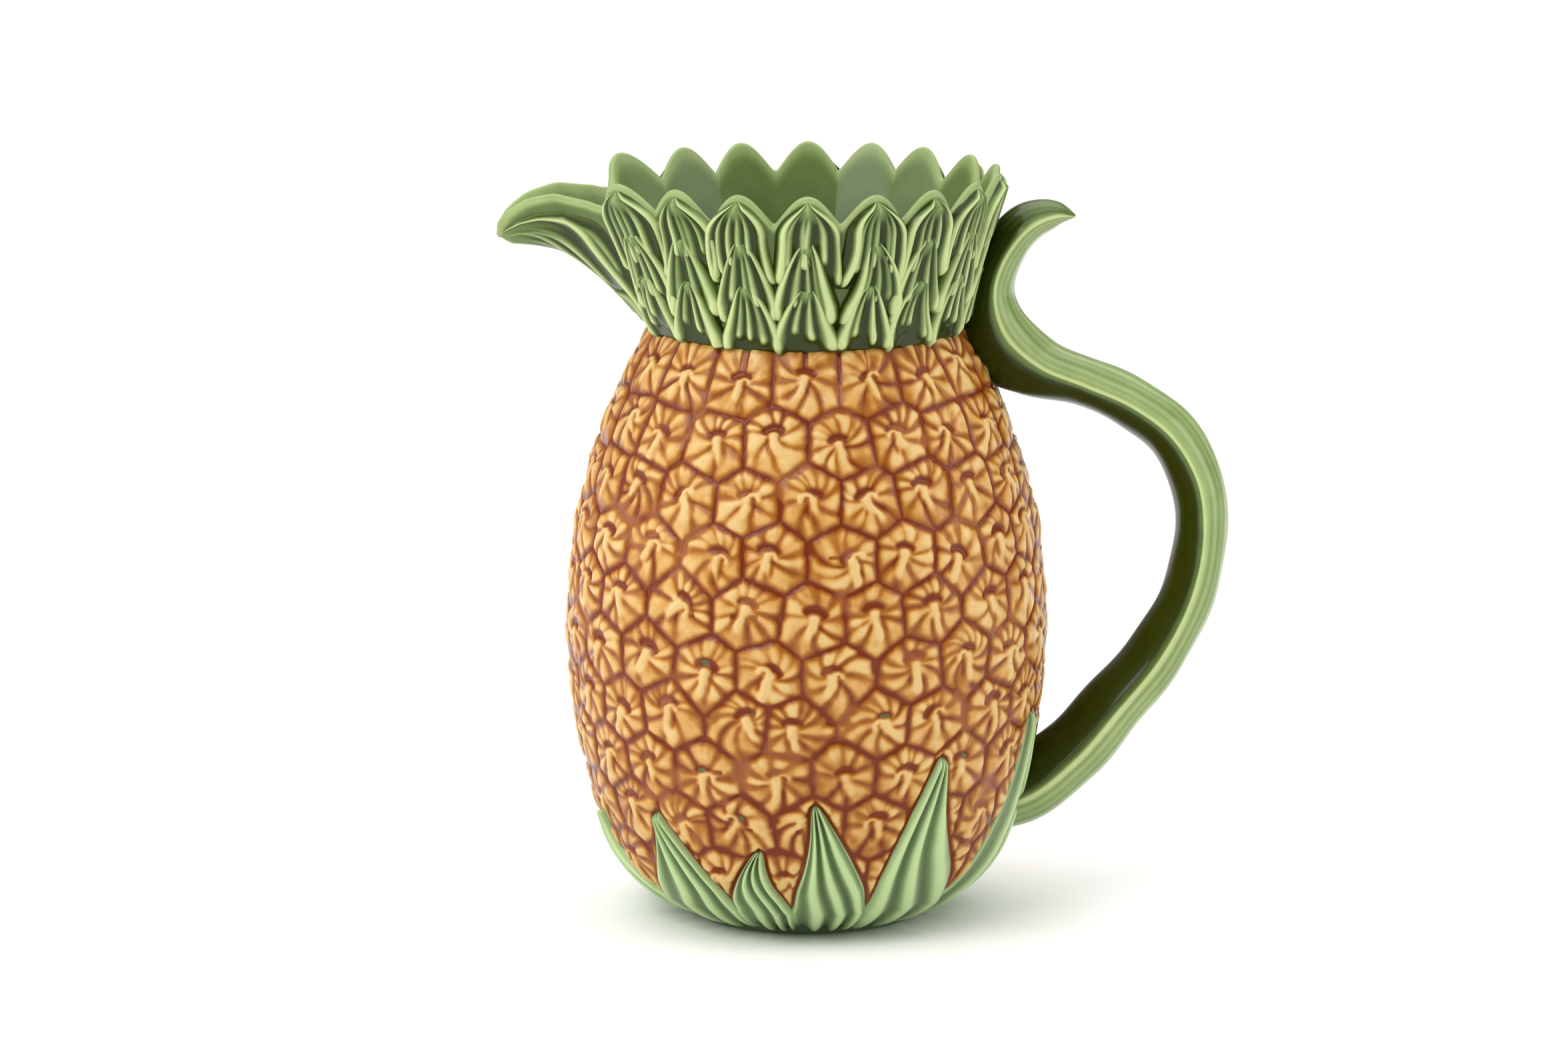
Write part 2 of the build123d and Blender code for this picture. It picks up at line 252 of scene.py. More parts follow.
class Socket:
    """A shader value that adds Math nodes when it is used in an expression."""

    def __init__(self, tree, link):
        self.tree, self.link = tree, link

    def math(self, operation, *values, clamp=False):
        settings = {"operation": operation, "use_clamp": clamp}
        return self.tree.node("ShaderNodeMath", settings, dict(enumerate(values)))

    def __add__(self, other):
        return self.math("ADD", self, other)

    def __sub__(self, other):
        return self.math("SUBTRACT", self, other)

    def __mul__(self, other):
        return self.math("MULTIPLY", self, other)

    def __truediv__(self, other):
        return self.math("DIVIDE", self, other)

    def __pow__(self, other):
        return self.math("POWER", self, other)

    def __radd__(self, other):
        return self.math("ADD", other, self)

    def __rsub__(self, other):
        return self.math("SUBTRACT", other, self)

    def __rmul__(self, other):
        return self.math("MULTIPLY", other, self)

    def limited(self):
        return self.math("ADD", self, 0.0, clamp=True)

    def eased(self, low, high):
        """0 below low, 1 above high and a smooth rise between."""
        settings = {"interpolation_type": "SMOOTHSTEP"}
        inputs = {"Value": self, "From Min": low, "From Max": high, "To Min": 0.0, "To Max": 1.0}
        return self.tree.node("ShaderNodeMapRange", settings, inputs)


class ShaderTree:
    """The nodes of one material."""

    def __init__(self, name):
        self.material = bpy.data.materials.new(name)
        self.material.use_nodes = True
        self.tree = self.material.node_tree
        self.tree.nodes.clear()
        self.place = self.node("ShaderNodeTexCoord", {}, {}, "Object")

    def node(self, kind, settings, inputs, output=0):
        """Adds a node, sets it, feeds its sockets, and returns one of its outputs."""
        made = self.tree.nodes.new(kind)
        for key, value in settings.items():
            if key == "stops":
                self.set_stops(made.color_ramp, value)
            else:
                setattr(made, key, value)
        for key, value in inputs.items():
            if isinstance(value, Socket):
                self.tree.links.new(value.link, made.inputs[key])
            else:
                made.inputs[key].default_value = value
        return Socket(self, made.outputs[output])

    @staticmethod
    def set_stops(ramp, stops):
        while len(ramp.elements) < len(stops):
            ramp.elements.new(1.0)
        for element, (position, colour) in zip(ramp.elements, stops):
            element.position = position
            element.color = (*colour, 1.0)

    def ramp(self, value, stops):
        return self.node("ShaderNodeValToRGB", {"stops": stops}, {"Fac": value})

    def noise(self, scale, detail=3.0, roughness=0.55, distortion=0.0):
        inputs = {
            "Vector": self.place,
            "Scale": scale,
            "Detail": detail,
            "Roughness": roughness,
            "Distortion": distortion,
        }
        return self.node("ShaderNodeTexNoise", {}, inputs, "Fac")

    def attribute(self, name):
        return self.node("ShaderNodeAttribute", {"attribute_name": name}, {}, "Fac")

    def mix(self, share, first, second, blend="MIX"):
        settings = {"data_type": "RGBA", "blend_type": blend}
        return self.node("ShaderNodeMix", settings, {0: share, 6: first, 7: second}, 2)

    def finish(self, colour, roughness, bump_height, bump_strength, bump_distance, constants):
        """A glossy glaze: a shaded body under a clear coat, with a soft bump."""
        normal = self.node(
            "ShaderNodeBump",
            {},
            {"Height": bump_height, "Strength": bump_strength, "Distance": bump_distance},
        )
        inputs = {"Base Color": colour, "Roughness": roughness, "Normal": normal}
        inputs.update(constants)
        shader = self.node("ShaderNodeBsdfPrincipled", {}, inputs)
        end = self.tree.nodes.new("ShaderNodeOutputMaterial")
        self.tree.links.new(shader.link, end.inputs["Surface"])
        return self.material


def shade(colour, factor):
    """A colour made darker or lighter."""
    return tuple(min(channel * factor, 1.0) for channel in colour)


def rgba(colour):
    return (*colour, 1.0)


class JugGlaze(bpy.types.PropertyGroup):
    """Colours of the two glazes, as linear light."""

    straw: FloatVectorProperty(
        name="Straw", description="Amber glaze at its thinnest, on the crests", subtype="COLOR",
        size=3, default=(0.64, 0.44, 0.18),
    )
    gold: FloatVectorProperty(
        name="Gold", description="Amber glaze where it runs thin on a ridge", subtype="COLOR",
        size=3, default=(0.56, 0.300, 0.080),
    )
    amber: FloatVectorProperty(
        name="Amber", description="Amber glaze of middling depth", subtype="COLOR",
        size=3, default=(0.37, 0.140, 0.018),
    )
    umber: FloatVectorProperty(
        name="Umber", description="Amber glaze pooled in a groove", subtype="COLOR",
        size=3, default=(0.160, 0.023, 0.002),
    )
    pale_leaf: FloatVectorProperty(
        name="Pale leaf", description="Green glaze where it runs thin on a rib", subtype="COLOR",
        size=3, default=(0.46, 0.54, 0.235),
    )
    mint: FloatVectorProperty(
        name="Mint", description="Thin green glaze on the base leaves", subtype="COLOR",
        size=3, default=(0.38, 0.60, 0.30),
    )
    leaf: FloatVectorProperty(
        name="Leaf", description="Green glaze of middling depth", subtype="COLOR",
        size=3, default=(0.150, 0.225, 0.060),
    )
    pool: FloatVectorProperty(
        name="Pool", description="Green glaze pooled between leaves", subtype="COLOR",
        size=3, default=(0.022, 0.034, 0.001),
    )
    sage: FloatVectorProperty(
        name="Sage", description="Green glaze on smooth walls", subtype="COLOR",
        size=3, default=(0.100, 0.175, 0.055),
    )
    gloss: FloatProperty(
        name="Roughness", description="Roughness of the glaze", default=0.30, min=0.0, max=1.0,
        subtype="FACTOR",
    )


class JugRelief(bpy.types.PropertyGroup):
    """Sizes of the relief on the barrel."""

    cell: FloatProperty(
        name="Cell", description="Spacing of the relief's mesh, in millimetres", default=0.5, min=0.3,
    )
    rows: IntProperty(name="Rows", description="Rows of fruitlets", default=10, min=1)
    top_row: FloatProperty(
        name="Top row", description="Height of the top row's middle, in millimetres", default=178.5,
    )
    row_pitch: FloatProperty(
        name="Row pitch", description="Height from row to row, in millimetres", default=17.0,
    )
    depth: FloatProperty(
        name="Depth", description="Depth of the fruitlets, in millimetres", default=2.2, min=0.0,
    )
    seed: IntProperty(name="Seed", description="Start of the hand-made unevenness", default=7)


class JugLeaves(bpy.types.PropertyGroup):
    """Sizes of the leaves on the crown and round the base."""

    crown_depth: FloatProperty(
        name="Crown depth", description="How far crown ribs stand out, in millimetres", default=3.3,
    )
    base_depth: FloatProperty(
        name="Base depth", description="How far base ribs stand out, in millimetres", default=2.9,
    )
    collar_wall: FloatProperty(
        name="Collar wall", description="Thickness of the collar at the neck, in millimetres", default=4.0,
    )
    tooth: FloatProperty(
        name="Tooth", description="Height of the rim's teeth, in millimetres", default=8.8,
    )


def glaze_speckle(tree):
    """Small darker dots and bubbles in a glaze."""
    return tree.noise(900.0, detail=1.0).eased(0.70, 0.78)


def amber_glaze(name, glaze):
    """Honey glaze: golden where thin, red-brown where it pools, with a few strays of green."""
    tree = ShaderTree(name)
    drift = tree.noise(26.0, detail=4.0) - 0.5
    fine = tree.noise(240.0, detail=5.0, distortion=0.4) - 0.5
    pool = (tree.attribute("pool") + drift * 0.30 + fine * 0.36).limited()
    gold, amber, umber = tuple(glaze.gold), tuple(glaze.amber), tuple(glaze.umber)
    pale = tuple(glaze.straw)
    stops = (
        (0.02, pale),
        (0.24, gold),
        (0.44, amber),
        (0.62, tuple(lerp(a, b, 0.45) for a, b in zip(amber, umber))),
        (0.84, umber),
    )
    colour = tree.ramp(pool, stops)
    blush = tree.noise(58.0, detail=2.0).eased(0.54, 0.66) * pool.eased(0.50, 0.80) * 0.5
    colour = tree.mix(blush, colour, rgba((0.38, 0.135, 0.045)))
    stray = tree.noise(70.0, detail=1.0).eased(0.66, 0.70) * tree.attribute("pit").eased(0.45, 0.75)
    colour = tree.mix(stray * 0.85, colour, rgba(shade(tuple(glaze.sage), 0.8)))
    # a near-black green ring round the barrel's top, under the collar: partly pooled green glaze, partly painted
    # shadow
    neck_ring_and_shadow = tree.attribute("green")
    colour = tree.mix(neck_ring_and_shadow, colour, rgba(tuple(glaze.pool)))
    colour = tree.mix(glaze_speckle(tree) * 0.35, colour, rgba(umber))
    bump = fine * 0.6 + tree.noise(420.0, detail=2.0) * 0.25
    constants = {"Coat Weight": 0.20, "Coat Roughness": 0.10, "Specular IOR Level": 0.12}
    return tree.finish(colour, glaze.gloss, bump, 0.22, 0.0006, constants)


def leaf_glaze(name, glaze, coat_roughness, coolness=0.0):
    """Copper-green glaze: pale on ribs and edges, deep between them, near black in pools."""
    tree = ShaderTree(name)
    drift = tree.noise(24.0, detail=3.0) - 0.5
    fine = tree.noise(150.0, detail=3.0) - 0.5
    pool = (tree.attribute("pool") + drift * 0.16 + fine * 0.10).limited()
    pale, leaf, deep = tuple(glaze.pale_leaf), tuple(glaze.leaf), tuple(glaze.pool)
    pale = tuple(lerp(a, b, coolness) for a, b in zip(pale, glaze.mint))
    leaf = tuple(lerp(a, 0.36 * b, coolness) for a, b in zip(leaf, glaze.mint))
    middle = tuple(lerp(a, b, 0.45) for a, b in zip(leaf, pale))
    stops = (
        (0.00, shade(pale, 1.1)),
        (0.18, pale),
        (0.34, middle),
        (0.50, leaf),
        (0.72, tuple(lerp(a, b, 0.6) for a, b in zip(leaf, deep))),
        (0.90, deep),
    )
    colour = tree.ramp(pool, stops)
    colour = tree.mix(glaze_speckle(tree) * 0.15, colour, rgba(deep))
    bump = fine * 0.5 + tree.noise(360.0, detail=2.0) * 0.2
    constants = {"Coat Weight": 0.32, "Coat Roughness": coat_roughness, "Specular IOR Level": 0.10}
    return tree.finish(colour, glaze.gloss, bump, 0.12, 0.0006, constants)


def fruitlet_seats(relief, rng):
    """Centres of all fruitlets as turn, length along the side, and row."""
    seats = []
    for row in range(relief.rows):
        height = relief.top_row - row * relief.row_pitch
        count = (17, 20)[row] if row < 2 else 22 if row < 8 else 21
        for index in range(count):
            turn = (index + 0.5 * (row % 2)) * 360 / count + rng.normal(0, 1.3)
            along = float(Barrel.along(height)) + rng.normal(0, 1.1)
            seats.append((turn, along, row))
    return np.array(seats)


def fold_cuts(rng):
    """Angles of the clefts between a fruitlet's folds, from straight down, and how deep each one is."""
    below = np.linspace(-1.8, 1.8, rng.integers(5, 7))
    above = np.linspace(1.8, 2 * math.pi - 1.8, rng.integers(4, 8))[1:-1]
    cuts = np.concatenate([below, above])
    cuts = np.sort(cuts + rng.normal(0, 0.10, len(cuts)))
    return cuts, rng.uniform(0.30, 1.0, len(cuts))


def fruitlet_form(x, y, edge, size, arched, rng):
    """The relief of one fruitlet from 0 to 1, and its pits.

    A hooked finger runs from the middle to the lower border, long pleats fan out on both sides of
    it and a hood of short wrinkled folds closes round its head. x and y are millimetres from the
    seat, edge is the distance to the border, size the fruitlet's radius and arched says whether its
    upper border is round.
    """
    flip = rng.choice((-1.0, 1.0))
    tilt = rng.normal(0.0, 0.24)
    u = flip * (x / size - rng.normal(0, 0.07))
    v = y / size + 0.03 - rng.normal(0, 0.06)
    u, v = u * math.cos(tilt) - v * math.sin(tilt), u * math.sin(tilt) + v * math.cos(tilt)
    if arched:
        squared = (np.abs(x / (1.05 * size)) ** 3 + np.abs(y / (1.03 * size)) ** 3) ** (1 / 3)
        arch = size * (1 - squared)
        arch = np.maximum(np.maximum(arch, 0.7 * (edge - 1.5)), 0)
        edge = np.minimum(edge, arch + 5 * smooth(-y / size, -0.05, 0.45))
    reach = np.hypot(u, v)
    swirl = rng.normal(0.25, 0.35)
    angle = np.arctan2(u, -v) + swirl * (reach - 0.4)
    cuts, depths = fold_cuts(rng)
    ends = np.append(cuts, cuts[0] + 2 * math.pi)
    deep = np.append(depths, depths[0])
    turn = (angle - cuts[0]) % (2 * math.pi) + cuts[0]
    fold = np.clip(np.searchsorted(cuts, turn, side="right") - 1, 0, len(cuts) - 1)
    share = (turn - ends[fold]) / (ends[fold + 1] - ends[fold])
    arc = (ends[fold + 1] - ends[fold]) * reach
    cleft_width = 0.055 + 0.075 * smooth(reach, 0.3, 1.0)
    cleft = deep[fold] * bell(share * arc, cleft_width)
    cleft = np.maximum(cleft, deep[fold + 1] * bell((1 - share) * arc, cleft_width))
    away = np.abs((angle + math.pi) % (2 * math.pi) - math.pi)
    above = smooth(away, 1.65, 2.15)
    cleft = cleft * (1 - above * rng.choice((0.0, 0.55, 0.85)))
    start = lerp(0.06, 0.30 + 0.05 * rng.uniform(-1, 1), above)
    along = np.clip((reach - start) / (np.maximum(reach - start, 0) + np.maximum(edge, 0.05) / size), 0, 1)
    dome = np.sin(math.pi * along) ** 0.6
    tall = rng.uniform(0.80, 1.0, len(ends))
    folds = smooth(reach, start, start + 0.17) * (0.44 + 0.56 * dome) * tall[fold]
    folds = folds * (0.70 + 0.30 * np.sin(math.pi * np.clip(share, 0, 1)) ** 0.8) * (1 - 0.62 * cleft)
    phase = rng.uniform(0, 2 * math.pi)
    wrinkles = np.sin(21 * angle + phase + 1.6 * np.sin(4 * angle)) * smooth(reach, 0.5, 0.85)
    folds = folds + 0.055 * wrinkles * (0.35 + 0.65 * above)
    # the finger with its hooked head
    sway = rng.normal(0, 0.09)
    line = u - sway * np.sin(2.6 * v) * smooth(-v, 0.0, 0.5)
    thick = lerp(rng.uniform(0.09, 0.15), rng.uniform(0.18, 0.25), smooth(v, -0.40, 0.05))
    foot = rng.uniform(0.35, 0.85)
    finger = bell(line, thick) * (1 - smooth(v, 0.06, 0.26)) * (1 - smooth(-v, foot - 0.2, foot + 0.2))
    curl = rng.uniform(0.12, 0.19)
    hook = bell(np.hypot(u - curl, v - 0.02) - curl, 0.085) * smooth(v, -0.08, 0.06)
    hook = hook * rng.choice((0.0, 0.9, 1.0))
    knob = np.maximum(finger, hook)
    form = 0.78 * folds + 0.95 * knob - 0.66 * folds * knob
    pit = above * bell(reach - start + 0.04, 0.10) * (1 - knob)
    slit = bell(line - 0.20, 0.06) * smooth(-v, -0.15, 0.10) * (1 - smooth(-v, 0.35, 0.65))
    form = form * (1 - 0.45 * slit * (1 - hook))
    bank = np.sqrt(np.clip(1 - (1 - np.clip((edge - 0.05) / 2.5, 0, 1)) ** 2, 0, 1))
    lean = 0.10 * (u * math.cos(phase) + v * math.sin(phase))
    height = np.clip(0.10 + 0.84 * form + lean, 0, 1.08) * bank * rng.uniform(0.88, 1.0)
    return height, np.clip(pit + 0.4 * slit, 0, 1) * bank


def barrel_relief(relief):
    """The grid of fruitlets round the barrel: turns, lengths, height, owner row and pit share."""
    rng = np.random.default_rng(relief.seed)
    seats = fruitlet_seats(relief, rng)
    columns = int(2 * math.pi * BELLY_RADIUS / relief.cell)
    low = float(Barrel.along(5.0))
    rows = int((Barrel.length - low) / relief.cell)
    turns = np.arange(columns) * 360.0 / columns
    lengths = np.linspace(low, Barrel.length, rows)
    radius = Barrel.at(lengths)[0]
    nearest = np.full((columns, rows), 1e9)
    second = np.full((columns, rows), 1e9)
    owner = np.full((columns, rows), -1)
    rival = np.full((columns, rows), -1)
    window = 17.0
    blocks = []
    for number, (turn, along, row) in enumerate(seats):
        band = np.nonzero(np.abs(lengths - along) < window)[0]
        across = (turns - turn + 180) % 360 - 180
        limit = math.degrees(window / max(radius[band].min(), 20))
        side = np.nonzero(np.abs(across) < limit)[0]
        x = np.radians(across[side])[:, None] * radius[band][None, :]
        y = (lengths[band] - along)[None, :] * np.ones_like(x)
        flat = np.hypot(x, y)
        gap = flat + 1.2 * y / (flat + 1.0)
        cell = np.ix_(side, band)
        blocks.append((cell, x, y))
        best, next_best = nearest[cell], second[cell]
        closer = gap < best
        between = ~closer & (gap < next_best)
        rival[cell] = np.where(closer, owner[cell], np.where(between, number, rival[cell]))
        second[cell] = np.where(closer, best, np.where(between, gap, next_best))
        nearest[cell] = np.where(closer, gap, best)
        owner[cell] = np.where(closer, number, owner[cell])
    apart_turn = np.radians((seats[owner, 0] - seats[rival, 0] + 180) % 360 - 180) * radius[None, :]
    apart = np.hypot(apart_turn, seats[owner, 1] - seats[rival, 1])
    edge = (second**2 - nearest**2) / (2 * np.maximum(apart, 6.0))
    form = np.zeros((columns, rows))
    pit = np.zeros((columns, rows))
    for number, (cell, x, y) in enumerate(blocks):
        mine = owner[cell] == number
        size = 0.5 * (relief.row_pitch + np.median(2 * np.pi * radius[cell[1].ravel()]) / 21)
        arched = seats[number, 2] > 0
        height, hollow = fruitlet_form(x, y, edge[cell], 0.56 * size, arched, rng)
        form[cell] = np.where(mine, height, form[cell])
        pit[cell] = np.where(mine, hollow, pit[cell])
    return turns, lengths, form, seats[owner, 2].astype(int), pit


def base_leaf_sides(number, along):
    """The turns of a base leaf's two sides at lengths along the barrel, and the rise to its tip."""
    start, tip_turn, tip_height = BASE_LEAVES[number]
    end = BASE_LEAVES[number + 1][0] if number + 1 < len(BASE_LEAVES) else BASE_LEAVES[0][0] + 360
    high, valley = float(Barrel.along(tip_height)), float(Barrel.along(BASE_VALLEY))
    rise = np.clip((np.asarray(along, float) - valley) / (high - valley), 0, 1)
    keep = (1 - rise) ** 1.45
    sway = 2.2 * np.sin(math.pi * rise) * (1 if number % 2 else -1)
    blunt = 1.9 * np.sqrt(np.clip(1 - rise**8, 0, 1))
    left = tip_turn + sway + (start - tip_turn - 0.5) * keep - blunt * smooth(rise, 0.0, 0.3)
    right = tip_turn + sway + (end - tip_turn + 0.5) * keep + blunt * smooth(rise, 0.0, 0.3)
    return left, right, rise


def under_base_leaves(turns, lengths):
    """How far grid points lie inside the base leaves' outlines, in millimetres, negative outside."""
    inside = np.full((len(turns), len(lengths)), -99.0)
    radius = Barrel.at(lengths)[0]
    for number, (start, tip_turn, tip_height) in enumerate(BASE_LEAVES):
        left, right, rise = base_leaf_sides(number, lengths)
        middle = (left + right) / 2
        across = np.abs((turns[:, None] - middle[None, :] + 180) % 360 - 180)
        depth = np.radians((right - left)[None, :] / 2 - across) * radius[None, :]
        over = float(Barrel.along(tip_height)) - lengths
        depth = np.where(over[None, :] < 0, np.minimum(depth, 0) + over[None, :], depth)
        inside = np.maximum(inside, depth)
    return inside


class JUG_OT_fruitlets(bpy.types.Operator):
    """Model the rows of fruitlets on the barrel"""

    bl_idname = "jug.fruitlets"
    bl_label = "Fruitlets"

    def execute(self, context):
        settings = context.scene.pineapple_jug
        turns, lengths, form, row, pit = barrel_relief(settings.relief)
        rng = np.random.default_rng(settings.relief.seed + 3)
        for steps, amount in ((2, 0.035), (6, 0.05)):
            lumps = blurred(rng.normal(size=form.shape), steps, True)
            form = form + amount * lumps / lumps.std() * smooth(form, 0.1, 0.5)
        form = blurred(form, 1, True) * 0.5 + form * 0.5
        covered = under_base_leaves(turns, lengths)
        form = form * (1 - smooth(covered, -2.2, -0.2))
        fade = smooth(Barrel.length - lengths, 0.0, 3.0)[None, :]
        lift = 0.15 + settings.relief.depth * np.clip(form, 0, 1.08) * (0.35 + 0.65 * fade)
        hollow = blurred(form, 2, True) - form
        wide = blurred(form, 7, True) - form
        pool = np.clip(0.37 + 1.6 * hollow + 0.60 * wide - 0.58 * (form - 0.62), 0, 1)
        pool = pool + 0.09 * (1 - smooth(lengths, 15.0, 110.0))[None, :]
        pool = np.maximum(pool, 0.85 * smooth(covered, -1.6, -0.6))
        # the barrel's top 2 mm, under the collar, get the near-black green ring: pooled green glaze and painted
        # shadow
        green = (1 - smooth(Barrel.length - lengths, 0.4, 1.8))[None, :] * np.ones_like(form)
        points = Barrel.point(turns[:, None], lengths[None, :], lift).reshape(-1, 3)
        attributes = {"pool": pool.ravel(), "pit": pit.ravel(), "green": green.ravel()}
        faces = grid_faces(len(turns), len(lengths), True)
        face_row = row.ravel()[faces[:, 0]]
        material = amber_glaze("amber_glaze", settings.glaze)
        nodes = [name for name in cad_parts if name.startswith("fruitlet_row_")]
        for index in range(settings.relief.rows):
            name = f"fruitlets_{index + 1}"
            piece = make_mesh_object(name, points, faces[face_row == index], attributes, material)
            own = f"fruitlet_row_{min(index + 1, len(nodes))}"
            dress(piece, "amber_glaze", own)
        return {"FINISHED"}


def beak_angle(turn):
    """Degrees from the beak's direction."""
    return (np.asarray(turn, float) - BEAK_TURN + 180) % 360 - 180


# The crown's upper edge over the beak: share of the lip's spread, distance, sideways, height
BEAK_EDGE = np.array(
    (
        (0.00, 95.6, 0.0, 214.8),
        (0.10, 95.5, 3.0, 218.2),
        (0.20, 93.0, 5.8, 222.2),
        (0.34, 87.6, 9.2, 226.8),
        (0.52, 80.0, 13.6, 231.6),
        (0.76, 71.5, 19.2, 234.3),
        (1.00, 66.2, 24.1, 235.1),
    )
)
KEEL_LOW = (57.8, 201.0)
KEEL_HIGH = (71.5, 214.6)


def crown_surface(turn, share):
    """Points of the crown's smooth outer surface: share 0 at the neck, 1 at the full rim."""
    off = beak_angle(turn)
    spread = np.abs(off) / LIP_SPREAD
    angle = np.radians(off)
    flare = 9.5 * bell(np.maximum(np.abs(off) - LIP_SPREAD - 2, 0), 16.0)
    rim = RIM_RADIUS + flare
    start = (NECK_RADIUS * np.cos(angle), NECK_RADIUS * np.sin(angle), NECK_HEIGHT)
    end = [rim * np.cos(angle), rim * np.sin(angle), np.full_like(rim, RIM_LEVEL)]
    in_lip = spread < 1
    side = np.sign(off)
    edge = [np.interp(spread, BEAK_EDGE[:, 0], BEAK_EDGE[:, k]) for k in (1, 2, 3)]
    edge[1] = edge[1] * side
    end = [np.where(in_lip, b, a) for a, b in zip(end, edge)]
    pull = (1 - smooth(spread, 0.0, 1.15)) ** 1.2
    dip = -1.2 * (1 - pull)
    low = [
        lerp(lerp(start[0], end[0], 1 / 3) + dip * np.cos(angle), KEEL_LOW[0], pull),
        lerp(start[1], end[1], 1 / 3) + dip * np.sin(angle),
        lerp(lerp(start[2], end[2], 1 / 3), KEEL_LOW[1], pull),
    ]
    high = [
        lerp(lerp(start[0], end[0], 2 / 3) + dip * np.cos(angle), KEEL_HIGH[0], pull),
        lerp(start[1], end[1], 2 / 3) + dip * np.sin(angle),
        lerp(lerp(start[2], end[2], 2 / 3), KEEL_HIGH[1], pull),
    ]
    t = np.asarray(share, float)
    weights = ((1 - t) ** 3, 3 * t * (1 - t) ** 2, 3 * t * t * (1 - t), t**3)
    out, sideways, height = (
        sum(weight * part[axis] for weight, part in zip(weights, (start, low, high, end))) for axis in range(3)
    )
    # outwards along the beak is -X; sideways follows the turn
    return np.stack(np.broadcast_arrays(-out, -sideways, height), axis=-1)


def rim_share(turn, tooth, shifts):
    """Where the serrated rim cuts the crown's surface, as a share."""
    turn = np.asarray(turn, float)
    place = turn / (360 / COLUMNS)
    near = np.round(place).astype(int) % COLUMNS
    inside = place - np.round(place) - shifts[near]
    crest = np.abs(np.cos(np.pi * np.clip(inside, -0.5, 0.5))) ** 1.15
    share = 1 - tooth * (1 - crest) / (RIM_LEVEL - NECK_HEIGHT)
    off = np.abs(beak_angle(turn))
    valley = 1 - tooth / (RIM_LEVEL - NECK_HEIGHT)
    lip = lerp(1.0, valley, smooth(off, 5.0, LIP_SPREAD))
    return np.where(off < LIP_SPREAD, lip, share)


def column_shifts(rng):
    """How far each tooth stands from its even place, as a share of the pitch."""
    return np.clip(rng.normal(0, 0.05, COLUMNS), -0.09, 0.09)


def crown_turns(count):
    """Turns round the crown, closer together over the beak."""
    even = np.linspace(-180, 180, count, endpoint=False)
    return BEAK_TURN + even - 9.0 * np.sin(np.radians(even)) * bell(even, 50.0)


class JUG_OT_collar(bpy.types.Operator):
    """Model the crown's shell: the serrated collar and the beak with its channel"""

    bl_idname = "jug.collar"
    bl_label = "Collar and beak"

    def execute(self, context):
        settings = context.scene.pineapple_jug
        leaves = settings.leaves
        shifts = column_shifts(np.random.default_rng(settings.relief.seed))
        turns = crown_turns(840)
        top = rim_share(turns, leaves.tooth, shifts)
        levels = np.linspace(0, 1, 56)
        share = levels[None, :] * top[:, None]
        outer = crown_surface(turns[:, None], share)
        normals = grid_normals(outer, True)
        normals[:, 0] = normals[:, 1]
        wall = lerp(leaves.collar_wall, 2.3, smooth(levels, 0.2, 1.0))[None, :, None]
        inner = outer - normals * wall
        # the rim turns over in a half round between the two walls
        middle, half = (outer[:, -1] + inner[:, -1]) / 2, (outer[:, -1] - inner[:, -1]) / 2
        upward = outer[:, -1] - outer[:, -2]
        upward /= np.linalg.norm(upward, axis=-1, keepdims=True)
        reach = np.linalg.norm(half, axis=-1, keepdims=True)
        bends = np.linspace(0, np.pi, 9)[1:-1]
        rim = [middle + half * math.cos(bend) + upward * reach * math.sin(bend) for bend in bends]
        rim = np.stack(rim, axis=1)
        inner = inner[:, ::-1]
        points = np.concatenate([outer, rim, inner], axis=1)
        rows = points.shape[1]
        edge = np.concatenate([levels - 1, np.zeros(len(bends)), levels[::-1] - 1])
        up = edge[None, :] * np.ones((len(turns), 1))
        lower_rows = np.arange(rows)[None, :] < len(levels)
        rim_light = smooth(up, -0.13, 0.0)
        # the inner wall's pool share rises deeper down towards the neck: painted shade inside the jug; the wall is
        # paler at the rim
        inside = 0.62 + 0.12 * smooth(-up, 0.2, 0.6) - 0.26 * rim_light
        outside = lerp(0.66, 0.30, smooth(up, -0.05, 0.0)) - 0.16 * (1 - smooth(up, -1.0, -0.93))
        pool = np.where(lower_rows, outside, inside)
        faces = grid_faces(len(turns), rows, True)
        material = leaf_glaze("sage_glaze", settings.glaze, 0.24)
        piece = make_mesh_object(
            "collar_and_beak", points.reshape(-1, 3), faces, {"pool": pool.ravel()}, material
        )
        dress(piece, "sage_glaze", "crown_collar")
        return {"FINISHED"}


def leaf_ribs(across, down, rng, count):
    """Relief of a crown leaf from 0 to 1: ribs that fan from its point and end in rounded lobes."""
    places = np.linspace(-0.80, 0.80, count) + rng.normal(0, 0.03, count)
    form = np.zeros_like(across + down)
    for number, place in enumerate(places):
        outermost = number in (0, count - 1)
        width = rng.uniform(0.23, 0.31) if outermost else rng.uniform(0.16, 0.24)
        width = width * min(1.0, 4.2 / count)
        end = rng.uniform(0.90, 1.0) if outermost else rng.uniform(0.62, 0.88)
        bend = rng.normal(0, 0.08)
        line = place + bend * np.sin(math.pi * down)
        strength = rng.uniform(0.92, 1.0) if outermost else rng.uniform(0.55, 0.8)
        taper = width * (1 - 0.25 * smooth(down, end - 0.3, end))
        rib = bell(across - line, taper) * np.sqrt(1 - smooth(down, end - 0.12, end))
        form = np.maximum(form, strength * rib)
    crest = (1 - smooth(down, 0.02, 0.38)) * (1 - 0.55 * np.abs(across))
    blade = 0.34 * (1 - smooth(down - 0.22 * np.abs(across), 0.58, 0.80))
    return 1 - (1 - np.maximum(form, 0.85 * crest)) * (1 - blade)


